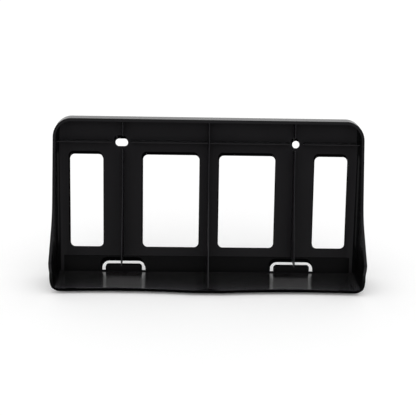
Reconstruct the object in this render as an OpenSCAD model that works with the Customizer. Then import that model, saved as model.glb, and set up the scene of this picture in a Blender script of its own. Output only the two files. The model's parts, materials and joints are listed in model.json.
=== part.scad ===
// Number plate holder, moulded in one piece. It stands on its ledge, with the open bumper side at -Y.
// The plate bolts to the far face of the panel, which leans back. All sizes are in millimetres.

/* [Body] */
// Width across the side flanges
body_w = 314.4; // [304:0.2:330]
// Height of the top flange above the underside of the ledge
body_h = 159; // [154:0.5:170]
// Thickness of the panel, the flanges and the ledge
wall = 3; // [2.4:0.1:3.6]
// Angle by which the panel leans back, in degrees
lean = 12; // [8:0.5:16]
// Radius of the two top corners, seen from the front
top_r = 18; // [12:0.5:24]
// Radius of the two bottom corners, seen from the front
bottom_r = 11.5; // [6:0.5:14]
// Radius of the hollow bend between the panel and each side flange
cove_r = 10; // [4:0.5:12]
// Radius of the bend between the panel and the ledge, on the inside
bend_r = 1.5; // [0.5:0.1:3]

/* [Ledge] */
// Depth of the ledge from the panel to its front edge
ledge_d = 44.5; // [42:0.5:54]
// Radius of the ledge's two front corners, seen from above
ledge_r = 6; // [2:0.5:8]
// Depth of the two shallow hollows along the front edge
hollow_d = 3.5; // [1:0.5:6]
// Length of each hollow
hollow_w = 156; // [100:1:160]
// Length of straight edge between the two hollows
hollow_gap = 28; // [4:1:40]

/* [Flange rim] */
// Depth of the side flanges in front of the panel, just above the ledge
flange_d = 40; // [34:0.5:42]
// Depth of the top flange in front of the panel
rim_d = 8; // [6:0.5:12]
// Height of the knee, where the rim starts to sweep out
knee_h = 66; // [56:1:80]
// Depth of the rim in front of the panel at the knee
knee_d = 20; // [16:0.5:24]
// Radius of the knee
knee_r = 70; // [20:1:80]
// Height of the nose, where the rim stands out furthest
nose_h = 27; // [24:0.5:32]
// How far the nose stands out past the foot of the flange
nose_out = 1.5; // [0.5:0.1:4]
// Height of the step under the nose
step_h = 18; // [12:0.5:20]
// How far the rim steps back under the nose
step_d = 2.6; // [1:0.1:4]

/* [Ribs] */
// Thickness of every rib
rib_t = 1.2; // [0.8:0.1:2]
// How far each rib's top stays behind the rim
rib_inset = 1; // [0.5:0.1:3]
// Depth of the upright ribs at half height
rib_mid_d = 11; // [8:0.5:16]
// Depth of the two side ribs at their lower ends
rib_low_d = 27; // [18:0.5:30]
// Height of the centre rib above the ledge, at the front edge
rib_toe_h = 2; // [1:0.1:6]
// Height at which the centre rib turns from the ledge up the panel
elbow_h = 43; // [40:0.5:56]
// Depth of the centre rib at that turn
elbow_d = 25; // [20:0.5:28]
// Height of the cross rib above the middle of the bolt holes
cross_rib_rise = 2; // [0:0.1:5]
// Depth of the cross rib
cross_rib_d = 7; // [4:0.5:8]
// Gap between a bolt hole and the ribs that meet it
rib_gap = 3; // [2:0.1:6]

/* [Windows] */
// Height of the windows' lower edge up the panel
window_low = 25.6; // [22:0.1:30]
// Distance from the top of the panel down to the windows' upper edge
window_drop = 35.1; // [32:0.1:44]
// Width of the two inner windows
inner_w = 58.8; // [50:0.1:62]
// Width of the bar between the inner windows
inner_gap = 19.1; // [14:0.1:26]
// Width of the two outer windows
outer_w = 35.1; // [24:0.1:36]
// Distance between an inner window and the outer window beside it
outer_gap = 39.3; // [36:0.1:42]
// Radius of the windows' corners
window_r = 4.8; // [2:0.1:8]

/* [Bolt holes] */
// Distance between the two bolt holes
bolt_gap = 177.8; // [174:0.1:182]
// Distance from the top of the panel down to the middle of the bolt holes
bolt_drop = 22.8; // [18:0.1:26]
// Diameter of the round hole and width of the slotted hole
bolt_d = 7.6; // [6.4:0.1:8.4]
// Length of the slotted hole
slot_l = 12.9; // [10:0.1:16]
// Depth of full bore that is left at the plate side
bolt_land = 1.6; // [0.8:0.1:2]

/* [Tongues] */
// Distance between the middles of the two tongues
tongue_gap = 174.5; // [168:0.5:180]
// Width across each slot that frees a tongue
uslot_w = 46; // [36:0.5:48]
// Height of the slot's upper edge up the panel
uslot_high = 10.5; // [10:0.1:12]
// Height of the slot's bar, above the tongue
uslot_bar = 2.5; // [2:0.1:5]
// Width of the slot's two legs
uslot_leg = 4.8; // [3:0.1:6]
// Height of the legs' lower ends up the panel
uslot_low = 0.9; // [0.8:0.1:2]
// Outer corner radius of the slot
uslot_r = 7.4; // [4:0.1:8]
// Height of the thickened band at the foot of the panel
foot_h = 16.5; // [16:0.1:20]
// How much the band is thicker than the panel
foot_t = 0.8; // [0.4:0.1:1.5]

/* [Sloping walls] */
// Rise of each opening's upper wall on its way to the bumper side
wall_rise = 3.4; // [0:0.1:4]
// Sideways run of each opening's left wall, which ends at the stated width on the bumper side
wall_run = 1.2; // [0:0.1:2]
// Depth of straight wall that is left at the plate side of the windows and the tongues' slots
open_land = 0.8; // [0.3:0.1:1.5]

/* [Hidden] */
$fn = 96;
// Overlap that makes cuts pass clean through
eps = 1;
// Step between two faces that must not fall together
tiny = 0.05;
// Radius of the outer bend between the panel and the ledge
outer_bend_r = bend_r + wall;
// Radius at the tip of the nose
nose_r = 2.5;
// Radius of the bend where the flange's foot sweeps out to the front edge of the ledge
sweep_r = 4;
// Share of the height between step and nose that slopes
nose_slope = 0.8;
// Radius of the bend in the upright ribs' front edges
rib_bend_r = 150;
// Radius of the turn in the centre rib's front edge
elbow_r = 20;
// Radius of the tongues' own corners
tongue_r = 3.4;
// Radius of the front edge's hollows, from their length and depth
hollow_r = (pow(hollow_w / 2, 2) + pow(hollow_d, 2)) / (2 * hollow_d);
// Distance of each hollow's middle from the centre line
hollow_x = (hollow_gap + hollow_w) / 2;
// Front edge of the ledge, with the inside bend at the foot of the panel at zero
front_y = -ledge_d;
// Furthest point of the plate side, at the top
back_y = panel_y(body_h) + wall / cos(lean);
// Tip of the nose
nose_y = -flange_d - nose_out;
// Furthest point of the bumper side
bumper_y = min(front_y, nose_y);
// Shift that puts the origin under the middle of the whole part
mid_y = -(bumper_y + back_y) / 2;
// Inside faces of the tray
inner_x = body_w / 2 - wall;
inner_top = body_h - wall;
// Length of the panel up its slope, between the ledge and the top flange
panel_len = (inner_top - wall) / cos(lean);
// Heights of the bolt holes and of the windows' upper edge up the panel
bolt_h = panel_len - bolt_drop;
window_high = panel_len - window_drop;
// Height at which the foot band ends
foot_z = wall + foot_h * cos(lean);
// Height of the ribs' middle point
rib_mid_z = (inner_top + foot_z) / 2;

// Bumper-side face of the panel at a given height
function panel_y(z) = (z - wall) * tan(lean);

// Points of an arc about a centre, from one angle to another
function arc(mid, r, a0, a1, n = 6) =
    [for (i = [0 : n]) mid + r * [cos(a0 + (a1 - a0) * i / n), sin(a0 + (a1 - a0) * i / n)]];

// Points of the arc that rounds the corner b between a and c
function bend(a, b, c, r, n = 8) =
    let (u = (a - b) / norm(a - b), v = (c - b) / norm(c - b), half = acos(u * v) / 2,
         mid = b + (u + v) / norm(u + v) * r / sin(half),
         p = b + u * r / tan(half) - mid, q = b + v * r / tan(half) - mid,
         a0 = atan2(p.y, p.x), turn = (atan2(q.y, q.x) - a0 + 900) % 360 - 180)
    arc(mid, r, a0, a0 + turn, n);

// Rounded rectangle, anticlockwise
function round_rect(x0, x1, y0, y1, r) = concat(
    arc([x1 - r, y0 + r], r, -90, 0), arc([x1 - r, y1 - r], r, 0, 90),
    arc([x0 + r, y1 - r], r, 90, 180), arc([x0 + r, y0 + r], r, 180, 270));

// Circle of radius r, or the slot that it makes when it is moved sideways by the reach either way
function stadium(reach, r) = reach > 0 ?
    concat(arc([reach, 0], r, -90, 90, 12), arc([-reach, 0], r, 90, 270, 12)) : arc([0, 0], r, 0, 345, 23);

// Upright outline with its two upper corners rounded, anticlockwise
function arch(x0, x1, low, high, r) = concat([[x0, low], [x1, low]],
    arc([x1 - r, high - r], r, 0, 90), arc([x0 + r, high - r], r, 90, 180));

// Plate-side outline of a window between two places across the panel, shrunk by d
function window_outline(x0, x1, d) =
    round_rect(x0 + wall_run + d, x1 - d, window_low + d, window_high - d, window_r - d);

// Plate-side outline of the slot round a tongue, shrunk by d
function slot_outline(d) =
    arch(wall_run - uslot_w / 2 + d, uslot_w / 2 - d, uslot_low + d, uslot_high - d, uslot_r - d);

// Plate-side outline of a tongue, shrunk by d
function tongue_outline(d) =
    let (w = uslot_w / 2 - uslot_leg)
    arch(-w + d, w + wall_run - d, uslot_low - foot_h, uslot_high - uslot_bar - d, tongue_r - d);

// Moves what is drawn flat onto the bumper-side face of the panel: y runs up it, z stands out of it
module on_panel() {
    translate([0, 0, wall]) rotate([90 - lean, 0, 0]) children();
}

// Extrudes a side view, drawn as depth and height, across the width w
module across(w) {
    rotate([90, 0, 90]) translate([0, 0, -w / 2]) linear_extrude(w) children();
}

// Extrudes a front view, drawn as width and height, through the whole depth
module through() {
    translate([0, back_y + eps, 0]) rotate([90, 0, 0]) linear_extrude(back_y - bumper_y + 2 * eps) children();
}

// Front view of the body, shrunk by the inset d
module front_view(d) {
    w = body_w / 2 - d;
    difference() {
        translate([-w, d]) square([2 * w, body_h - 2 * d]);
        for (s = [-1, 1]) {
            corner_waste(s * w, d, -s, 1, bottom_r - d);
            corner_waste(s * w, body_h - d, -s, -1, top_r - d);
        }
    }
}

// What is left outside the arc in a square corner
module corner_waste(x, y, dx, dy, r) {
    difference() {
        translate([x + dx * (r - eps) / 2, y + dy * (r - eps) / 2]) square(r + eps, center = true);
        translate([x + dx * r, y + dy * r]) circle(r);
    }
}

// Side view of the body with the flanges' rim as its front edge
module side_view() {
    foot = [front_y, 0];
    lip = [front_y, wall];
    ankle = [-flange_d, bottom_r];
    step = [nose_y + step_d, step_h];
    nose_low = [nose_y, step_h + nose_slope * (nose_h - step_h)];
    nose = [nose_y, nose_h + nose_r];
    knee = [panel_y(knee_h) - knee_d, knee_h];
    top = [panel_y(body_h) - rim_d, body_h];
    heel = [wall * (1 - sin(lean)) / cos(lean), 0];
    polygon(concat(
        [foot, lip], bend(lip, ankle, step, sweep_r), [step, nose_low],
        bend(nose_low, nose, knee, nose_r), bend(nose, knee, top, knee_r, 12),
        [top, [back_y, body_h]],
        bend([back_y, body_h], heel, foot, outer_bend_r)));
}

// Space inside the tray, from the panel's bumper-side face out through the open side
module hollow() {
    intersection() {
        through() front_view(wall);
        across(body_w) inside_view();
        on_panel() translate([0, -body_h / 2, 0]) rotate([-90, 0, 0])
            linear_extrude(2 * body_h) cove_view();
    }
}

// Side view of the space inside, rounded where the panel meets the ledge and the top flange
module inside_view() {
    low = [0, wall];
    high = [panel_y(inner_top), inner_top];
    out = bumper_y - eps;
    polygon(concat([[out, wall]], bend([out, wall], low, high, bend_r),
        bend(low, high, [out, inner_top], bend_r), [[out, inner_top]]));
}

// The space inside seen along the panel, with a cove at each side
module cove_view() {
    d = ledge_d + back_y + eps;
    difference() {
        translate([-inner_x, -d]) square([2 * inner_x, d]);
        for (s = [-1, 1]) corner_waste(s * inner_x, 0, -s, -1, cove_r);
    }
}

// What the rounding of the ledge's two front corners takes off
module ledge_corners() {
    for (s = [-1, 1])
        translate([0, 0, -eps]) linear_extrude(bottom_r + eps)
            corner_waste(s * body_w / 2, front_y, -s, 1, ledge_r);
}

// The two shallow hollows in the front edge of the ledge
module edge_hollows() {
    for (s = [-1, 1])
        translate([s * hollow_x, front_y + hollow_d - hollow_r, -eps])
            cylinder(h = wall + 2 * eps, r = hollow_r, $fn = 720);
}

// Tray: panel, ledge, top flange and side flanges in one wall
module tray() {
    difference() {
        intersection() {
            across(body_w) side_view();
            through() front_view(0);
        }
        hollow();
        edge_hollows();
        ledge_corners();
    }
}

// Upright rib, given the points of its front edge from the lowest to the highest
module upright_rib(x, edge) {
    z0 = edge[0].y;
    translate([x, 0, 0]) across(rib_t)
        polygon(concat([[panel_y(z0) + wall / 2, z0]], edge,
            [[panel_y(inner_top) + wall / 2, inner_top + wall / 2]]));
}

// The three upright ribs and the cross rib, opened round the bolt holes
module ribs() {
    top = [panel_y(inner_top) - rim_d + rib_inset, inner_top + wall / 2];
    mid = [panel_y(rib_mid_z) - rib_mid_d, rib_mid_z];
    low = [panel_y(foot_z) - rib_low_d, foot_z];
    toe = [front_y + rib_inset, wall + rib_toe_h];
    elbow = [panel_y(elbow_h) - elbow_d, elbow_h];
    upper = concat(bend(low, mid, top, rib_bend_r), [top]);
    difference() {
        union() {
            for (s = [-1, 1]) upright_rib(s * tongue_gap / 2, concat([low], upper));
            upright_rib(0, concat([[toe.x, wall / 2], toe], bend(toe, elbow, mid, elbow_r), upper));
            cross_rib();
        }
        for (s = [-1, 1]) rib_clearance(s);
    }
}

// Cross rib at the height of the bolt holes, from one side flange to the other
module cross_rib() {
    z = wall + (bolt_h + cross_rib_rise) * cos(lean);
    translate([-inner_x - wall / 2, panel_y(z) - cross_rib_d, z - rib_t / 2])
        cube([2 * inner_x + wall, cross_rib_d + wall / 2, rib_t]);
}

// Room round a bolt hole that the ribs stay out of: s is -1 for the slotted one, 1 for the round one
module rib_clearance(s) {
    reach = s < 0 ? (slot_l - bolt_d) / 2 : 0;
    r = bolt_d / 2 + rib_gap;
    on_panel() for (e = [-1, 1])
        translate([s * bolt_gap / 2 + e * reach, bolt_h, 0]) {
            cylinder(h = ledge_d, r = r);
            translate([e < 0 ? 0 : -reach, -r, 0]) cube([reach + tiny, 2 * r, ledge_d]);
        }
}

// Thickened band along the foot of the panel
module foot_band() {
    on_panel() translate([-inner_x - wall / 2, -wall / 2, -wall / 2])
        cube([2 * inner_x + wall, foot_h + wall / 2, foot_t + wall / 2]);
}

// Prism on an outline that moves up and to the left on its way to the bumper side. It starts at the land.
module sloped(outline, land = open_land, more = 0) {
    n = len(outline);
    back = -wall + land - more;
    front = foot_t + eps + more;
    function shifted(p, z) = p + (z + wall - land) / (wall - land) * [-wall_run, wall_rise];
    function ring(z) = [for (p = outline) [shifted(p, z).x, shifted(p, z).y, z]];
    polyhedron(concat(ring(back), ring(front)),
        concat([[for (i = [0 : n - 1]) i]], [[for (i = [n - 1 : -1 : 0]) n + i]],
        [for (i = [0 : n - 1]) [i, i + n, (i + 1) % n + n, (i + 1) % n]]));
}

// Prism on an outline straight through the panel
module straight(outline, more = 0) {
    translate([0, 0, -wall - eps - more]) linear_extrude(wall + foot_t + 2 * (eps + more)) polygon(outline);
}

// The four windows
module windows() {
    inner = inner_gap / 2;
    outer = inner + inner_w + outer_gap;
    for (x = [[inner, inner + inner_w], [outer, outer + outer_w]], s = [-1, 1]) {
        x0 = min(s * x);
        x1 = max(s * x);
        straight(window_outline(x0, x1, 0));
        sloped(window_outline(x0, x1, tiny));
    }
}

// The slots that leave a tongue under each side rib
module tongue_slots() {
    for (s = [-1, 1]) translate([s * tongue_gap / 2, 0, 0]) difference() {
        union() {
            straight(slot_outline(0));
            sloped(slot_outline(tiny));
        }
        intersection() {
            straight(tongue_outline(0), eps);
            sloped(tongue_outline(-tiny), more = open_land + eps);
        }
    }
}

// The slotted bolt hole on the left and the round one on the right
module bolt_holes() {
    reach = (slot_l - bolt_d) / 2;
    for (x = [-bolt_gap / 2 - reach, -bolt_gap / 2 + reach, bolt_gap / 2])
        translate([x, bolt_h, -wall - eps]) cylinder(h = wall + 2 * eps, d = bolt_d);
    translate([-bolt_gap / 2 - reach, bolt_h - bolt_d / 2, -wall - eps])
        cube([2 * reach, bolt_d, wall + 2 * eps]);
    r = bolt_d / 2 - tiny;
    for (s = [[-bolt_gap / 2, reach], [bolt_gap / 2, 0]])
        translate([s[0], bolt_h, 0]) sloped(stadium(s[1], r), bolt_land);
}

// The whole holder, with its origin under the middle of its box
module plate_holder() {
    color("#1a1a1b") translate([0, mid_y, 0]) difference() {
        union() {
            tray();
            intersection() {
                union() {
                    ribs();
                    foot_band();
                }
                across(body_w) side_view();
                through() front_view(wall / 2);
            }
        }
        on_panel() {
            windows();
            tongue_slots();
            bolt_holes();
        }
    }
}

plate_holder();
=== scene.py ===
"""Looks of the number plate holder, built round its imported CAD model.

The holder is one black plastic moulding. It stands on its ledge, with the open bumper side towards
the camera. The script gives the moulding its small edge radii and its skin, and sets it in a white
photo studio. All lengths are in metres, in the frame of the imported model.
"""

from __future__ import annotations

import json
import logging
import math
from dataclasses import dataclass
from enum import Enum
from typing import Any

import bmesh
import bpy
import numpy as np
from mathutils import Matrix, Vector

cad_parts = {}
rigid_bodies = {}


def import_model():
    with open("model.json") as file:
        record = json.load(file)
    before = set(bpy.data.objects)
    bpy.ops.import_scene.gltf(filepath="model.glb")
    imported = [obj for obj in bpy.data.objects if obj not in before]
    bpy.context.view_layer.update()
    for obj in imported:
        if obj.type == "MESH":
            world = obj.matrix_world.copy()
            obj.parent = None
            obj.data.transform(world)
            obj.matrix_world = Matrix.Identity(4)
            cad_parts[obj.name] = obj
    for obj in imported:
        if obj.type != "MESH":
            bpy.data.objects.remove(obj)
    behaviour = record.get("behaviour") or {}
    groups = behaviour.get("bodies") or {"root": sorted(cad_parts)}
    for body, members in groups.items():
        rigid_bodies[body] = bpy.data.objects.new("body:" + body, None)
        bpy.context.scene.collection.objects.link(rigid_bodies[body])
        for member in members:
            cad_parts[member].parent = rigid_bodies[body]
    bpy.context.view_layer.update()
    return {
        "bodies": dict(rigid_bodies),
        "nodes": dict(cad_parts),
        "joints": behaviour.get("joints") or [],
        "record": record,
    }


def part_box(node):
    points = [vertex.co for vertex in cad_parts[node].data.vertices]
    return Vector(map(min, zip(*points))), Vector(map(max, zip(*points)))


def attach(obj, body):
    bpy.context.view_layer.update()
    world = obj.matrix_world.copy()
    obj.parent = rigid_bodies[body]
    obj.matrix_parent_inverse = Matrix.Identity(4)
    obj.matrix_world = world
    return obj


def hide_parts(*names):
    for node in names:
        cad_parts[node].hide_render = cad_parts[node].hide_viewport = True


log = logging.getLogger("number_plate_holder")

MM = 0.001
NODE = "plate_holder"
DEPTH_MAP = "depth_and_width"
PHOTO_WIDTH_PX = 416


def linear(hex_colour: str) -> tuple[float, float, float, float]:
    """Turns an sRGB hex colour into the linear colour that a shader takes.

    Args:
        hex_colour: Colour such as "#1a1a1b".

    Returns:
        Linear red, green and blue, and an alpha of 1.
    """
    srgb = np.array([int(hex_colour[i : i + 2], 16) for i in (1, 3, 5)]) / 255
    rgb = np.where(srgb <= 0.04045, srgb / 12.92, ((srgb + 0.055) / 1.055) ** 2.4)
    return (float(rgb[0]), float(rgb[1]), float(rgb[2]), 1.0)


def clear_tree(owner: bpy.types.Material | bpy.types.World) -> bpy.types.NodeTree:
    """Gives a material or a world an empty node tree.

    Args:
        owner: Material or world.

    Returns:
        Its node tree.
    """
    owner.use_nodes = True
    owner.node_tree.nodes.clear()
    return owner.node_tree


def add_node(
    tree: bpy.types.NodeTree, kind: str, inputs: dict[str | int, Any] | None = None, **settings: Any
) -> bpy.types.Node:
    """Adds a node, sets its properties, and fills or links its inputs.

    Args:
        tree: Node tree that takes the node.
        kind: Blender's name of the node type.
        inputs: Value, or output socket to link, for each input by name or number.
        **settings: Properties of the node.

    Returns:
        The new node.
    """
    node = tree.nodes.new(kind)
    for name, value in settings.items():
        setattr(node, name, value)
    for name, value in (inputs or {}).items():
        if isinstance(value, bpy.types.NodeSocket):
            tree.links.new(value, node.inputs[name])
        else:
            node.inputs[name].default_value = value
    return node


def read_all(items: Any, name: str, width: int = 1, kind: type = float) -> np.ndarray:
    """Reads one property of all points, corners or faces of a mesh.

    Args:
        items: Such as mesh.vertices.
        name: Name of the property.
        width: How many numbers each item has.
        kind: Type of the numbers.

    Returns:
        One value an item, or one row an item where the width is over 1.
    """
    values = np.empty(len(items) * width, dtype=kind)
    items.foreach_get(name, values)
    return values.reshape(-1, width) if width > 1 else values


class Finish(Enum):
    """Material slots of the moulding, in order."""

    PANEL = 0
    LEDGE = 1
    SHUT_OFF = 2
    FOOT = 3
    TOP = 4
    RIB_EDGE = 5


@dataclass(frozen=True)
class MouldedPlastic:
    """Carbon-black polypropylene as it comes out of its mould.

    Attributes:
        name: Name of the material.
        light: Hex colour of the paler flow marks.
        dark: Hex colour of the deeper flow marks.
        roughness: Roughness of the skin.
        gloss: Strength of the reflection at right angles, where 0.5 is that of the bare polymer.
        ior: Refractive index, which is 1.49 for polypropylene.
        flow_mm: Size of the cloudy flow marks.
        grain_mm: Size of the fine unevenness of the skin. The grain of such a mould is about
            0.2 mm and is drawn coarser, so that it shows.
        grain_height_mm: Height of that unevenness.
        along: How much more the gloss spreads from front to back than across, from 0 to 1.
        curl_mm: How far the face curls up by its front edge. It is drawn in the shading only.
        curl_from_mm: Depth y at which the curl starts.
        curl_to_mm: Depth y of the front edge.
        painted_front_highlight: Hex colour of a painted highlight by that edge, standing in for the
            light that it catches.
    """

    name: str
    light: str
    dark: str
    roughness: float
    gloss: float
    ior: float = 1.49
    flow_mm: float = 22.0
    grain_mm: float = 1.6
    grain_height_mm: float = 0.004
    along: float = 0.0
    curl_mm: float = 0.0
    curl_from_mm: float = -4.0
    curl_to_mm: float = -40.4
    painted_front_highlight: str = "#000000"

    def curled(
        self,
        tree: bpy.types.NodeTree,
        place: bpy.types.NodeSocket,
        colour: bpy.types.NodeSocket,
        normal: bpy.types.NodeSocket,
    ) -> tuple[bpy.types.NodeSocket, bpy.types.NodeSocket]:
        """Adds the curl of the face towards its front edge, and a painted highlight there.

        With t running from 0 where the curl starts to 1 at the edge, the face rises by t^2 times
        the curl's height, and the share of the painted highlight's colour is t^4.

        Args:
            tree: Node tree that takes the nodes.
            place: Socket with the place on the object.
            colour: Socket with the colour without the painted highlight.
            normal: Socket with the normal of the flat face.

        Returns:
            Sockets with the colour with its painted highlight, and with the normal of the curled
            face.
        """
        depth = add_node(tree, "ShaderNodeSeparateXYZ", {"Vector": place}).outputs["Y"]
        way = add_node(
            tree,
            "ShaderNodeMapRange",
            {
                "Value": depth,
                "From Min": self.curl_from_mm * MM,
                "From Max": self.curl_to_mm * MM,
                "To Min": 0.0,
                "To Max": 1.0,
            },
            clamp=True,
        )
        curl = add_node(tree, "ShaderNodeMath", {0: way.outputs[0], 1: 2.0}, operation="POWER")
        # Painted highlight: the colour turns paler towards the front edge, standing in for the
        # light caught there
        highlight_share = add_node(tree, "ShaderNodeMath", {0: curl.outputs[0], 1: 2.0}, operation="POWER")
        highlighted = add_node(
            tree,
            "ShaderNodeMix",
            {"Factor": highlight_share.outputs[0], 6: colour, 7: linear(self.painted_front_highlight)},
            data_type="RGBA",
        )
        relief = add_node(
            tree,
            "ShaderNodeBump",
            {
                "Height": curl.outputs[0],
                "Distance": self.curl_mm * MM,
                "Strength": 1.0,
                "Normal": normal,
            },
        )
        return highlighted.outputs[2], relief.outputs[0]

    def build(self) -> bpy.types.Material:
        """Makes the material.

        Returns:
            The material.
        """
        material = bpy.data.materials.new(self.name)
        tree = clear_tree(material)
        place = add_node(tree, "ShaderNodeTexCoord").outputs["Object"]
        flow = add_node(
            tree,
            "ShaderNodeTexNoise",
            {"Vector": place, "Scale": 1 / (self.flow_mm * MM), "Detail": 4.0},
        )
        colour = add_node(
            tree,
            "ShaderNodeMix",
            {"Factor": flow.outputs["Fac"], 6: linear(self.dark), 7: linear(self.light)},
            data_type="RGBA",
        ).outputs[2]
        grain = add_node(
            tree,
            "ShaderNodeTexNoise",
            {"Vector": place, "Scale": 1 / (self.grain_mm * MM), "Detail": 3.0},
        )
        normal = add_node(
            tree,
            "ShaderNodeBump",
            {
                "Height": grain.outputs["Fac"],
                "Distance": self.grain_height_mm * MM,
                "Strength": 1.0,
            },
        ).outputs[0]
        if self.curl_mm:
            colour, normal = self.curled(tree, place, colour, normal)
        surface = {
            "Base Color": colour,
            "Roughness": self.roughness,
            "IOR": self.ior,
            "Specular IOR Level": self.gloss,
            "Anisotropic": self.along,
            "Normal": normal,
        }
        if self.along:
            surface["Tangent"] = add_node(
                tree, "ShaderNodeTangent", direction_type="UV_MAP", uv_map=DEPTH_MAP
            ).outputs[0]
        skin = add_node(tree, "ShaderNodeBsdfPrincipled", surface)
        add_node(tree, "ShaderNodeOutputMaterial", {"Surface": skin.outputs[0]})
        return material


SKINS = {
    # The panel, the flanges and the ribs: satin, from a fine-blasted mould, so its reflections
    # are soft and weak
    Finish.PANEL: MouldedPlastic(
        "satin_moulded_polypropylene", "#1d1c1e", "#19181a", roughness=0.34, gloss=0.15
    ),
    # The ledge: polished along its depth, so what is bright behind the panel runs down it in long
    # clear streaks. Its IOR is above the polymer's, to mirror as strongly as the real ledge does.
    Finish.LEDGE: MouldedPlastic(
        "polished_moulded_polypropylene",
        "#0a0a0b",
        "#070708",
        roughness=0.18,
        gloss=1.0,
        ior=1.8,
        along=1.0,
        curl_mm=3.0,
        # Painted highlight: a paler colour by the front edge, standing in for the light that it
        # catches
        painted_front_highlight="#3d3b40",
    ),
    # The walls of the openings and the front face of the ledge: dull, and painted deep black as
    # shade
    Finish.SHUT_OFF: MouldedPlastic(
        "dull_painted_shade_polypropylene", "#060607", "#040404", roughness=0.6, gloss=0.0
    ),
    # The band at the foot of the panel, the inner faces of the side flanges and all small radii:
    # polished, with a dark colour that is painted shade
    Finish.FOOT: MouldedPlastic(
        "painted_shade_foot_polypropylene", "#0b0b0c", "#080809", roughness=0.25, gloss=0.1
    ),
    # The top flange: polished, and pale because it is seen at a low angle against the white
    Finish.TOP: MouldedPlastic(
        "polished_top_polypropylene", "#1b1b1e", "#161618", roughness=0.24, gloss=1.0
    ),
    # The narrow edges of the ribs: a paler colour that is a painted highlight
    Finish.RIB_EDGE: MouldedPlastic(
        "rib_edge_painted_highlight_polypropylene", "#262528", "#201f22", roughness=0.34, gloss=0.3
    ),
}


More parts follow.
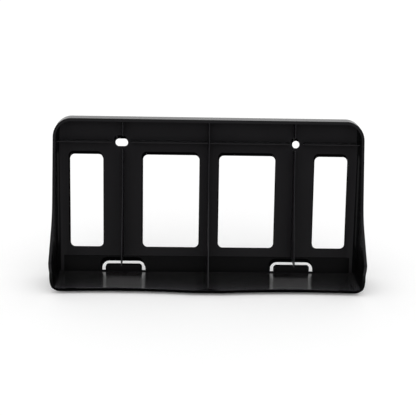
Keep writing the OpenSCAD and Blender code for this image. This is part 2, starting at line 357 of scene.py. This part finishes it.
@dataclass
class Moulding:
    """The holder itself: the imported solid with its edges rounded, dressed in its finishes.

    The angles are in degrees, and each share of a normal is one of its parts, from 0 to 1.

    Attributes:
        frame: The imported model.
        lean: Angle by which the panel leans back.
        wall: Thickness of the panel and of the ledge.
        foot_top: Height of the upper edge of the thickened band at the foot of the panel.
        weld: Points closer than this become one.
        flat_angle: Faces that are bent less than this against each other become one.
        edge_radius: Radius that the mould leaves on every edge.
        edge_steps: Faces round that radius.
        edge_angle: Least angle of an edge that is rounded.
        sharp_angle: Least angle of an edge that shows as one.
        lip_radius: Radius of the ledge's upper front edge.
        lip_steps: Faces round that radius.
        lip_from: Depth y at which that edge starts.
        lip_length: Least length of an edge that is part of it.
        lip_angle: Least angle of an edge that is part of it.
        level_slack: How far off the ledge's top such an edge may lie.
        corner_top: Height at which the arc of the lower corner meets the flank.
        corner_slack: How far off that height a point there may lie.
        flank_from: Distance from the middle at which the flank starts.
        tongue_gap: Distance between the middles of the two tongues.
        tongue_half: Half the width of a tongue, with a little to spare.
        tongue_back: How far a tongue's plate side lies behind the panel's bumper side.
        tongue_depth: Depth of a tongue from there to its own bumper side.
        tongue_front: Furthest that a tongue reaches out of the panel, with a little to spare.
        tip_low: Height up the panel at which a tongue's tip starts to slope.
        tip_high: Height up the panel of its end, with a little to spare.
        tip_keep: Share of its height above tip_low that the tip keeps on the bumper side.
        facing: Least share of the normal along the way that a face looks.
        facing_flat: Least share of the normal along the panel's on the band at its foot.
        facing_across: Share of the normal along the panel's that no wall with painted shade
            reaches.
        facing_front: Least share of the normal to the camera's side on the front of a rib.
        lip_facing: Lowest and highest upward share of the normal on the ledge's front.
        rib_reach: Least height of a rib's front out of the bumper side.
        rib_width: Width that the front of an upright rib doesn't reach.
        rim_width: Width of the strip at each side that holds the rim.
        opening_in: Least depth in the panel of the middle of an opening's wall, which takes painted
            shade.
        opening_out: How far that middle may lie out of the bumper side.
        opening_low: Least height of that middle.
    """

    frame: dict[str, Any]
    lean: float = 12.0
    wall: float = 3.0 * MM
    foot_top: float = 19.3 * MM
    weld: float = 0.08 * MM
    flat_angle: float = 1.0
    edge_radius: float = 0.2 * MM
    edge_steps: int = 2
    edge_angle: float = 32.0
    sharp_angle: float = 24.0
    lip_radius: float = 1.3 * MM
    lip_steps: int = 4
    lip_from: float = -32.0 * MM
    lip_length: float = 20.0 * MM
    lip_angle: float = 57.0
    level_slack: float = 0.02 * MM
    corner_top: float = 11.5 * MM
    corner_slack: float = 0.3 * MM
    flank_from: float = 152.0 * MM
    tongue_gap: float = 174.5 * MM
    tongue_half: float = 18.3 * MM
    tongue_back: float = 2.23 * MM
    tongue_depth: float = 3.03 * MM
    tongue_front: float = 1.0 * MM
    tip_low: float = 4.6 * MM
    tip_high: float = 8.05 * MM
    tip_keep: float = 0.7
    facing: float = 0.7
    facing_flat: float = 0.95
    facing_across: float = 0.93
    facing_front: float = 0.5
    lip_facing: tuple[float, float] = (-0.5, 0.97)
    rib_reach: float = 2.0 * MM
    rib_width: float = 6.0 * MM
    rim_width: float = 9.0 * MM
    opening_in: float = 0.05 * MM
    opening_out: float = 0.5 * MM
    opening_low: float = 3.15 * MM

    def is_lip(self, edge: bmesh.types.BMEdge) -> bool:
        """Tells whether an edge is a long one at the top of the ledge's front.

        Args:
            edge: Edge of the solid.

        Returns:
            True if it is.
        """
        front = all(
            abs(v.co.z - self.wall) < self.level_slack and v.co.y < self.lip_from
            for v in edge.verts
        )
        bent = edge.calc_face_angle(0.0) > math.radians(self.lip_angle)
        return front and bent and edge.calc_length() > self.lip_length

    def is_knot(self, edge: bmesh.types.BMEdge) -> bool:
        """Tells whether an edge starts where the lower corner's arc meets the flank's front.

        Several small edges meet there, and to round them would push a spike out of the flank.

        Args:
            edge: Edge of the solid.

        Returns:
            True if it does.
        """
        return any(
            abs(v.co.z - self.corner_top) < self.corner_slack
            and v.co.y < self.lip_from
            and abs(v.co.x) > self.flank_from
            for v in edge.verts
        )

    def merged(self, source: bpy.types.Mesh) -> bpy.types.Mesh:
        """Copies the solid's loose triangles into one closed mesh with flat faces.

        The ledge's front edge is rounded here, and each edge that the mould rounds is marked.

        Args:
            source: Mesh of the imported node.

        Returns:
            New mesh with shared points.
        """
        shape = bmesh.new()
        shape.from_mesh(source)
        bmesh.ops.remove_doubles(shape, verts=shape.verts, dist=self.weld)
        bmesh.ops.dissolve_degenerate(shape, edges=shape.edges, dist=self.weld / 4)
        bmesh.ops.dissolve_limit(
            shape,
            angle_limit=math.radians(self.flat_angle),
            verts=shape.verts,
            edges=shape.edges,
        )
        bmesh.ops.bevel(
            shape,
            geom=[edge for edge in shape.edges if self.is_lip(edge)],
            offset=self.lip_radius,
            segments=self.lip_steps,
            profile=0.5,
            affect="EDGES",
            material=-1,
        )
        share = shape.edges.layers.float.new("bevel_weight_edge")
        least = math.radians(self.edge_angle)
        for edge in shape.edges:
            bent = edge.is_manifold and edge.calc_face_angle(0.0) > least
            edge[share] = 1.0 if bent and not self.is_knot(edge) else 0.0
        mesh = bpy.data.meshes.new("rounded_moulding")
        shape.to_mesh(mesh)
        shape.free()
        return mesh

    def panel_axes(self) -> tuple[np.ndarray, np.ndarray]:
        """Gives the way up the leaning panel, and the way out of it to the bumper side.

        Returns:
            (0, sin a, cos a) and (0, -cos a, sin a), with a the lean.
        """
        a = math.radians(self.lean)
        up = np.array([0.0, math.sin(a), math.cos(a)])
        return up, np.array([0.0, -math.cos(a), math.sin(a)])

    def out_of_panel(self, points: np.ndarray) -> np.ndarray:
        """Measures how far points lie out of the panel's plate side.

        The distance is (p - c) . out, with c the upper corner of the plate side.

        Args:
            points: One point a row.

        Returns:
            One distance a point.
        """
        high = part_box(NODE)[1]
        return (points - np.array([0.0, high[1], high[2]])) @ self.panel_axes()[1]

    def draft_tips(self, mesh: bpy.types.Mesh) -> None:
        """Slopes the tips of the tongues towards the bumper side, as the mould's draft does.

        With u the height up the panel, and t running from 0 at a tongue's plate side to 1 at its
        bumper side, a point of its tip moves down the panel by (1 - keep) (u - low) t.

        Args:
            mesh: Mesh whose points are moved.
        """
        place = read_all(mesh.vertices, "co", 3)
        high = np.array(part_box(NODE)[1])
        a = math.radians(self.lean)
        up, out = self.panel_axes()
        slope = (high[2] - self.wall + self.wall * math.sin(a)) / math.cos(a)
        foot = np.array([0.0, high[1], high[2]]) + self.wall * out - up * slope
        u = (place - foot) @ up
        w = self.out_of_panel(place) - self.wall
        t = np.clip((w + self.tongue_back) / self.tongue_depth, 0, 1)
        tip = np.abs(np.abs(place[:, 0]) - self.tongue_gap / 2) < self.tongue_half
        tip &= (w < self.tongue_front) & (u > self.tip_low) & (u < self.tip_high)
        place[tip] -= ((1 - self.tip_keep) * (u - self.tip_low) * t)[tip, None] * up
        mesh.vertices.foreach_set("co", place.ravel())
        mesh.update()

    def side_reach(self, mesh: bpy.types.Mesh) -> tuple[np.ndarray, np.ndarray]:
        """Measures the faces across the width.

        Args:
            mesh: Mesh whose faces are measured.

        Returns:
            Each face's furthest |x|, which tells the rim from the ribs, and its width, which tells
            the upright ribs from the one that runs across.
        """
        corner = read_all(mesh.loops, "vertex_index", kind=np.int32)
        first = read_all(mesh.polygons, "loop_start", kind=np.int32)
        x = read_all(mesh.vertices, "co", 3)[corner, 0]
        width = np.maximum.reduceat(x, first) - np.minimum.reduceat(x, first)
        return np.maximum.reduceat(np.abs(x), first), width

    def sort_faces(self, mesh: bpy.types.Mesh) -> None:
        """Gives each face the slot of its finish.

        A face that looks up is the ledge's in the lower half and the top flange's in the upper. A
        narrow face that stands out of the panel and looks to the camera's side is a rib's edge,
        which takes a painted highlight. The band at the foot of the panel and the inner faces of
        the side flanges take a painted shade. A face that looks across the panel with its middle
        within the panel's thickness, the wall of an opening, takes a deep black painted shade, and
        so does the front edge of the ledge. All other faces are the panel's.

        Args:
            mesh: Mesh whose faces are sorted.
        """
        normal = read_all(mesh.polygons, "normal", 3)
        centre = read_all(mesh.polygons, "center", 3)
        side, width = self.side_reach(mesh)
        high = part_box(NODE)[1]
        along_out = normal @ self.panel_axes()[1]
        depth = self.out_of_panel(centre)
        height = centre[:, 2]

        looks_up = normal[:, 2] > self.facing
        rim = side > high[0] - self.rim_width
        rib_front = (depth > self.wall + self.rib_reach) & (normal[:, 1] < -self.facing_front)
        rib_front &= (height > self.foot_top) & ~rim & (width < self.rib_width)
        flank = rim & (normal[:, 0] * np.sign(centre[:, 0]) < -self.facing)
        band = (along_out > self.facing_flat) & (height < self.foot_top)
        opening = (depth > self.opening_in) & (depth < self.wall + self.opening_out)
        opening &= (height > self.opening_low) & (height < high[2] - 2 * self.wall)
        opening &= np.abs(along_out) < self.facing_across
        opening &= np.abs(centre[:, 0]) < high[0] - self.rim_width
        steepest, flattest = self.lip_facing
        lip = (normal[:, 2] > steepest) & (normal[:, 2] < flattest)
        lip &= (height < self.wall) & (centre[:, 1] < self.lip_from)

        slots = np.full(len(mesh.polygons), Finish.PANEL.value, dtype=np.int32)
        slots[looks_up] = Finish.LEDGE.value
        slots[looks_up & (height > high[2] / 2)] = Finish.TOP.value
        # Painted highlight: the paler colour on the ribs' edges
        slots[rib_front] = Finish.RIB_EDGE.value
        # Painted shade: the darker foot colour on the band at the panel's foot and on the flanks'
        # inner faces
        slots[flank | band] = Finish.FOOT.value
        # Painted shade: deep black on the walls of the openings and on the ledge's front face
        slots[opening | lip] = Finish.SHUT_OFF.value
        mesh.polygons.foreach_set("material_index", slots)
        mesh.update()

    def map_depth(self, mesh: bpy.types.Mesh) -> None:
        """Adds the map that the gloss follows: u = y and v = x, so u runs from front to back.

        Args:
            mesh: Mesh that takes the map.
        """
        corner = read_all(mesh.loops, "vertex_index", kind=np.int32)
        across = read_all(mesh.vertices, "co", 3)[corner][:, [1, 0]]
        mesh.uv_layers.new(name=DEPTH_MAP).data.foreach_set("uv", across.ravel())

    def build(self) -> bpy.types.Object:
        """Makes the rounded copy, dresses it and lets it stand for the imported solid.

        Returns:
            The rounded copy.
        """
        mesh = self.merged(self.frame["nodes"][NODE].data)
        for finish in Finish:
            mesh.materials.append(SKINS[finish].build())
        self.draft_tips(mesh)
        self.sort_faces(mesh)
        self.map_depth(mesh)
        mesh.shade_smooth()
        mesh.set_sharp_from_angle(angle=math.radians(self.sharp_angle))
        piece = bpy.data.objects.new("rounded_moulding", mesh)
        bpy.context.scene.collection.objects.link(piece)
        rounding = piece.modifiers.new("edge_radius", "BEVEL")
        rounding.width = self.edge_radius
        rounding.segments = self.edge_steps
        rounding.limit_method = "WEIGHT"
        # The small radii take the foot's painted shade, which keeps their highlights dim
        rounding.material = Finish.FOOT.value
        rounding.use_clamp_overlap = False
        levelling = piece.modifiers.new("flat_faces_stay_flat", "WEIGHTED_NORMAL")
        levelling.mode = "FACE_AREA"
        levelling.weight = 100
        levelling.keep_sharp = True
        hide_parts(NODE)
        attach(piece, "root")
        return piece


@dataclass
class Studio:
    """White floor, soft light, and the dark screen that the glossy black plastic mirrors.

    Attributes:
        floor_half: Half the side of the floor.
        floor_drop: Gap under the moulding. The real one touches the floor only where it is warped;
            the moulding here has no warp and stands clear of the floor.
        floor_colour: Hex colour of the floor.
        floor_glow: White that the floor shows besides the light on it, where 1 is white.
        sky: Strength of the even light on the object, where 1 is that of the white background.
        screen_radius: Radius of the black screen that stands round the camera's side.
        screen_turn: How far the screen reaches round on either side, in degrees.
        screen_height: Height of its upper edge.
        screen_points: Points along that edge.
        screen_colour: Hex colour of the screen.
        roof_height: Height of the grey roof.
        roof_half: Half its width.
        roof_front: How far it reaches to the camera's side.
        roof_back: How far it reaches to the other side.
        roof_colour: Hex colour of the roof.
    """

    floor_half: float = 6.0
    floor_drop: float = 2.6 * MM
    floor_colour: str = "#ffffff"
    floor_glow: float = 0.06
    sky: float = 1.0
    screen_radius: float = 0.86
    screen_turn: float = 105.0
    screen_height: float = 0.6
    screen_points: int = 43
    screen_colour: str = "#202020"
    roof_height: float = 1.2
    roof_half: float = 3.0
    roof_front: float = 0.2
    roof_back: float = 2.0
    roof_colour: str = "#7c7c7c"

    def seen(self, tree: bpy.types.NodeTree) -> bpy.types.NodeSocket:
        """Adds the nodes that give 1 for what the camera sees, also in gloss and through glass.

        Args:
            tree: Node tree that takes them.

        Returns:
            Socket with that value.
        """
        ray = add_node(tree, "ShaderNodeLightPath").outputs
        direct = add_node(
            tree,
            "ShaderNodeMath",
            {0: ray["Is Camera Ray"], 1: ray["Is Glossy Ray"]},
            operation="ADD",
            use_clamp=True,
        )
        both = add_node(
            tree,
            "ShaderNodeMath",
            {0: direct.outputs[0], 1: ray["Is Transmission Ray"]},
            operation="ADD",
            use_clamp=True,
        )
        return both.outputs[0]

    def paper(self) -> bpy.types.Material:
        """Makes the floor's white paper, which glows a little where the camera sees it.

        Returns:
            The material. The object's shadow stays on it.
        """
        material = bpy.data.materials.new("white_paper_floor")
        tree = clear_tree(material)
        sheet = add_node(tree, "ShaderNodeBsdfDiffuse", {"Color": linear(self.floor_colour)})
        amount = add_node(
            tree,
            "ShaderNodeMath",
            {0: self.seen(tree), 1: self.floor_glow},
            operation="MULTIPLY",
        )
        glow = add_node(
            tree, "ShaderNodeEmission", {"Color": (1, 1, 1, 1), "Strength": amount.outputs[0]}
        )
        both = add_node(tree, "ShaderNodeAddShader", {0: sheet.outputs[0], 1: glow.outputs[0]})
        add_node(tree, "ShaderNodeOutputMaterial", {"Surface": both.outputs[0]})
        return material

    def cloth(self, name: str, colour: str) -> bpy.types.Material:
        """Makes the dull cloth of the screen or the roof, of one colour.

        Args:
            name: Name of the material.
            colour: Its hex colour.

        Returns:
            The material.
        """
        material = bpy.data.materials.new(name)
        tree = clear_tree(material)
        pile = add_node(tree, "ShaderNodeBsdfDiffuse", {"Color": linear(colour)})
        add_node(tree, "ShaderNodeOutputMaterial", {"Surface": pile.outputs[0]})
        return material

    def band(
        self, name: str, low: np.ndarray, high: np.ndarray, material: bpy.types.Material
    ) -> bpy.types.Object:
        """Makes a staged sheet between two rows of points: point i of each row bounds strip i.

        Args:
            name: Name of the object.
            low: First row, one point a line.
            high: Second row, as long as the first.
            material: Its material.

        Returns:
            The sheet.
        """
        count = len(low)
        i = np.arange(count - 1)
        faces = np.stack([i, i + 1, i + 1 + count, i + count], axis=1)
        mesh = bpy.data.meshes.new(name)
        mesh.from_pydata(np.vstack([low, high]).tolist(), [], faces.tolist())
        mesh.materials.append(material)
        sheet = bpy.data.objects.new(name, mesh)
        bpy.context.scene.collection.objects.link(sheet)
        return sheet

    def level_rows(
        self, half: float, front: float, back: float, height: float
    ) -> tuple[np.ndarray, np.ndarray]:
        """Gives the near and the far edge of a level sheet.

        Args:
            half: Half its width.
            front: Depth y of its near edge.
            back: Depth y of its far edge.
            height: Height of the sheet.

        Returns:
            Both edges, each as a row of two points.
        """
        near = np.array([[-half, front, height], [half, front, height]])
        return near, near + np.array([0.0, back - front, 0.0])

    def light(self) -> None:
        """Makes the world: an even light on the object, and white where the camera sees it."""
        world = bpy.data.worlds.new("studio")
        bpy.context.scene.world = world
        tree = clear_tree(world)
        level = add_node(
            tree,
            "ShaderNodeMix",
            {"Factor": self.seen(tree), 2: self.sky, 3: 1.0},
            data_type="FLOAT",
        )
        back = add_node(
            tree, "ShaderNodeBackground", {"Color": (1, 1, 1, 1), "Strength": level.outputs[0]}
        )
        add_node(tree, "ShaderNodeOutputWorld", {"Surface": back.outputs[0]})

    def build(self) -> list[bpy.types.Object]:
        """Builds the floor, the screen, the roof and the world.

        The screen's foot is (sin b, -cos b, 0) times its radius, with b from -turn to turn, and
        its upper edge stands straight above it.

        Returns:
            The three sheets.
        """
        f = self.floor_half
        turn = np.radians(np.linspace(-self.screen_turn, self.screen_turn, self.screen_points))
        foot = np.stack([np.sin(turn), -np.cos(turn), np.zeros_like(turn)], 1) * self.screen_radius
        top = foot + np.array([0.0, 0.0, self.screen_height])
        roof = self.level_rows(self.roof_half, -self.roof_front, self.roof_back, self.roof_height)
        felt = self.cloth("grey_felt", self.roof_colour)
        sheets = [
            self.band("floor", *self.level_rows(f, -f, f, -self.floor_drop), self.paper()),
            self.band("black_screen", foot, top, self.cloth("black_velvet", self.screen_colour)),
            self.band("grey_roof", *roof, felt),
        ]
        for sheet in sheets[1:]:
            sheet.visible_camera = sheet.visible_diffuse = sheet.visible_shadow = False
        self.light()
        return sheets


@dataclass(frozen=True)
class PhotoCamera:
    """Camera that the photo was taken with, as fitted to the windows and the bolt holes.

    Attributes:
        azimuth: Angle round the object, in degrees.
        elevation: Angle above the floor, in degrees.
        roll: Turn about the line of sight, in degrees.
        distance: Distance from the point that it looks at.
        focal_px: Focal length in pixels of the photo.
        look_at: Point in the middle of the view.
        sensor_mm: Width of the film.
        nearest: Closest that it sees.
        furthest: Furthest that it sees.
    """

    azimuth: float = -1.731
    elevation: float = 20.11
    roll: float = 1.243
    distance: float = 0.8507
    focal_px: float = 823.0
    look_at: tuple[float, float, float] = (-0.00006, 0.020137, 0.0681)
    sensor_mm: float = 36.0
    nearest: float = 0.01
    furthest: float = 100.0

    def build(self) -> bpy.types.Object:
        """Makes the camera and turns it to the object.

        Returns:
            The camera.
        """
        a, e, r = (math.radians(v) for v in (self.azimuth, self.elevation, self.roll))
        back = Vector((math.sin(a) * math.cos(e), -math.cos(a) * math.cos(e), math.sin(e)))
        right = Vector((math.cos(a), math.sin(a), 0.0))
        up = back.cross(right)
        across = right * math.cos(r) + up * math.sin(r)
        upright = up * math.cos(r) - right * math.sin(r)
        data = bpy.data.cameras.new("photo_camera")
        data.sensor_width = self.sensor_mm
        data.lens = self.focal_px / PHOTO_WIDTH_PX * self.sensor_mm
        data.clip_start, data.clip_end = self.nearest, self.furthest
        camera = bpy.data.objects.new("photo_camera", data)
        turn = Matrix((across, upright, back)).transposed().to_4x4()
        camera.matrix_world = Matrix.Translation(Vector(self.look_at) + back * self.distance) @ turn
        bpy.context.scene.collection.objects.link(camera)
        bpy.context.scene.camera = camera
        return camera


def main() -> None:
    """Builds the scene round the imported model, and reports each piece."""
    logging.basicConfig(level=logging.INFO, format="%(name)s: %(message)s")
    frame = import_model()
    pieces = [Moulding(frame).build(), *Studio().build()]
    for piece in pieces:
        log.info("%s: %d faces", piece.name, len(piece.data.polygons))
    camera = PhotoCamera().build()
    log.info("%s: lens %.2f mm", camera.name, camera.data.lens)
    bpy.context.scene.view_settings.view_transform = "Standard"


if __name__ == "__main__":
    main()
